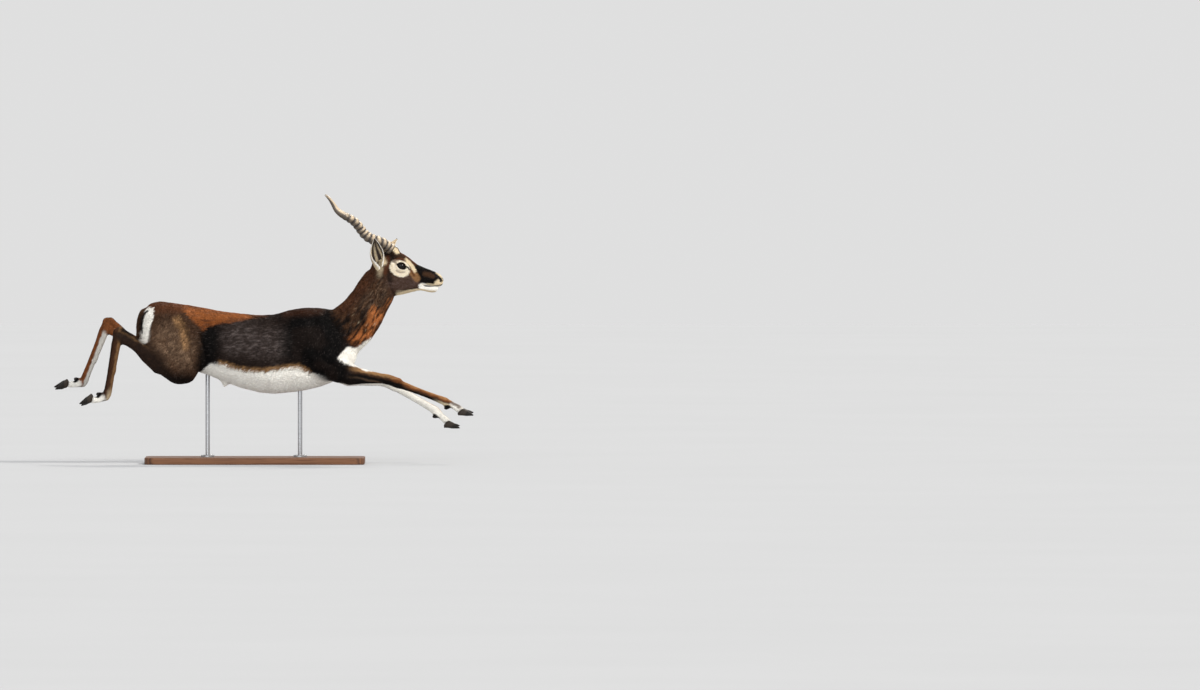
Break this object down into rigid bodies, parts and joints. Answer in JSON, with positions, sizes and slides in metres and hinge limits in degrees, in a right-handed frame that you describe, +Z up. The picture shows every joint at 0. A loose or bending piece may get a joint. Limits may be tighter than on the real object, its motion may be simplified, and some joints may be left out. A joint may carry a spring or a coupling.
{
  "type": "blackbuck antelope model",
  "caption": "Life-size still model of a leaping male blackbuck antelope with spiral ringed horns, held on a plain display stand by steel rods.",
  "frame": {"origin": "centre of the underside of the stand's board, on the floor", "axes": "+X the way the animal leaps and faces, +Z up, its right side towards -Y"},
  "size_m": [1.4946, 0.34, 0.9569],
  "materials": {
    "coat": "short glossy hair, near black on the flanks, rufous on the back, white below",
    "leg_coat": "short hair, rufous brown to white above the hooves",
    "ear_coat": "short hair, grey back, white tufts inside",
    "horn": "ringed horn, dark grooves with pale worn ridges",
    "hoof": "smooth dark horn",
    "eye": "wet, very dark brown",
    "stand_board": "satin dark wood",
    "stand_steel": "brushed"
  },
  "bodies": {
    "root": {"ear_left": "ear_coat", "ear_right": "ear_coat", "eye_left": "eye", "eye_right": "eye", "fore_left_cannon": "leg_coat", "fore_left_dewclaw_inner": "hoof", "fore_left_dewclaw_outer": "hoof", "fore_left_forearm": "coat", "fore_left_hoof_inner": "hoof", "fore_left_hoof_outer": "hoof", "fore_left_pastern": "leg_coat", "fore_left_shoulder": "coat", "fore_right_cannon": "leg_coat", "fore_right_dewclaw_inner": "hoof", "fore_right_dewclaw_outer": "hoof", "fore_right_forearm": "coat", "fore_right_hoof_inner": "hoof", "fore_right_hoof_outer": "hoof", "fore_right_pastern": "leg_coat", "fore_right_shoulder": "coat", "head": "coat", "hind_left_cannon": "leg_coat", "hind_left_dewclaw_inner": "hoof", "hind_left_dewclaw_outer": "hoof", "hind_left_hoof_inner": "hoof", "hind_left_hoof_outer": "hoof", "hind_left_pastern": "leg_coat", "hind_left_shank": "coat", "hind_left_thigh": "coat", "hind_right_cannon": "leg_coat", "hind_right_dewclaw_inner": "hoof", "hind_right_dewclaw_outer": "hoof", "hind_right_hoof_inner": "hoof", "hind_right_hoof_outer": "hoof", "hind_right_pastern": "leg_coat", "hind_right_shank": "coat", "hind_right_thigh": "coat", "horn_left": "horn", "horn_right": "horn", "neck": "coat", "stand_board": "stand_board", "stand_collar_front": "stand_steel", "stand_collar_rear": "stand_steel", "stand_rod_front": "stand_steel", "stand_rod_rear": "stand_steel", "tail": "coat", "torso": "coat"}
  },
  "joints": []
}
